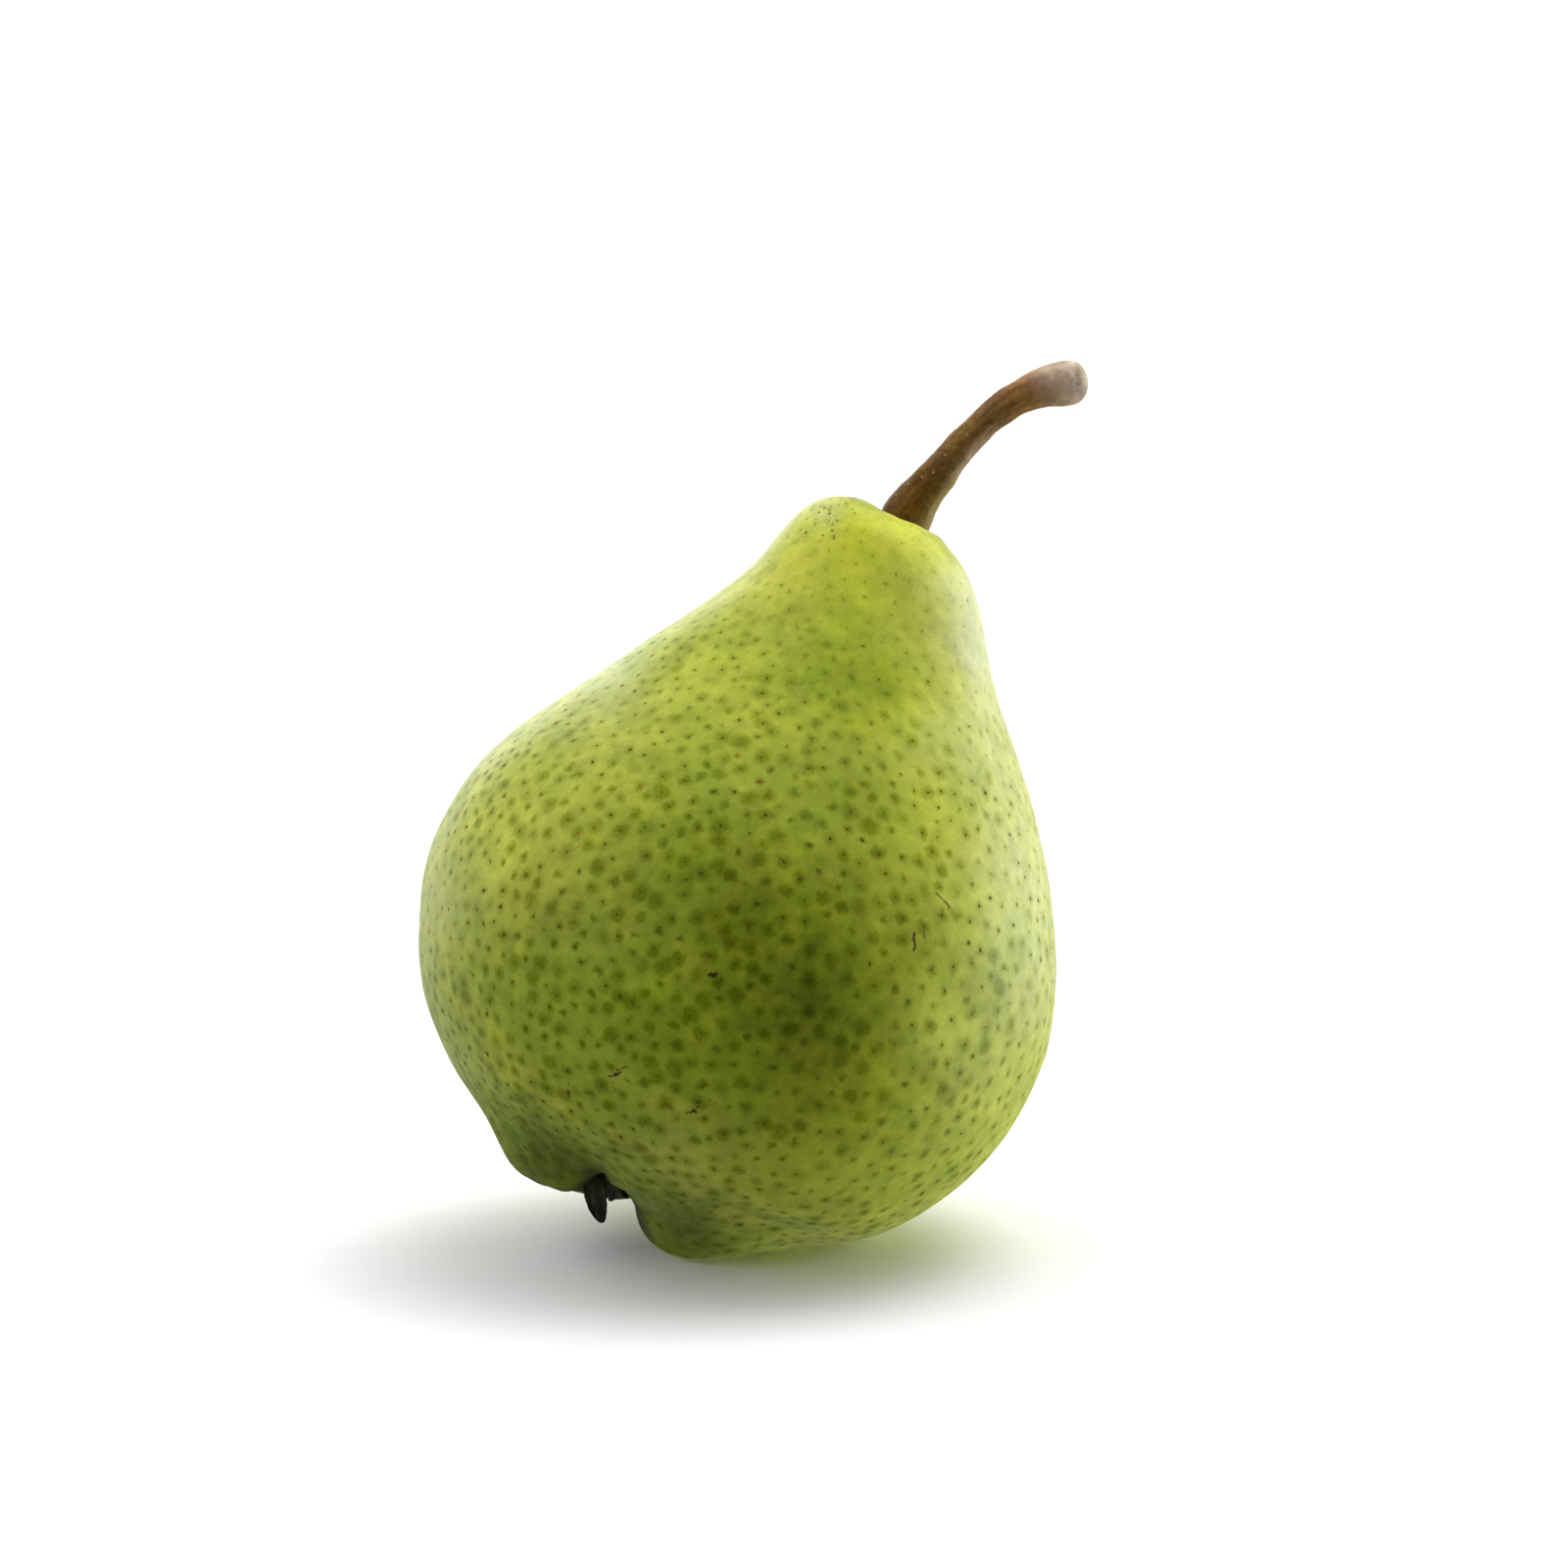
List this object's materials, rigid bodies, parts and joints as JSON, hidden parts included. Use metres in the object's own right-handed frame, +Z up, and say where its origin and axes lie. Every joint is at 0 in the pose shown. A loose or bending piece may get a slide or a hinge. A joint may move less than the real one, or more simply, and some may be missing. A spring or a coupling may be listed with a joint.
{
  "type": "pear",
  "caption": "Whole green pear resting on the side of its base, with a curved woody stalk and a dried calyx in the hollow underneath.",
  "frame": {"origin": "middle of the flat spot the pear rests on, under its centre of mass", "axes": "+Z up from the surface it rests on; +X the way the stalk end leans; +Y the way the pear tips back"},
  "size_m": [0.0788, 0.075, 0.1023],
  "materials": {
    "skin": "smooth waxy pear skin, yellow-green with darker green spots and small brown lenticels, satin",
    "stalk": "brown woody bark, greener near the fruit, greyer at the end knob, matte",
    "sepal": "dried leaf, olive-brown to black at the tip, matte",
    "dried_flower": "dried flower remains, dark brown, rough"
  },
  "bodies": {
    "root": {"fruit_body": "skin", "stem": "stalk", "calyx_disc": "dried_flower", "sepal_1": "sepal", "sepal_2": "sepal", "sepal_3": "sepal", "sepal_4": "sepal", "sepal_5": "sepal"}
  },
  "joints": []
}
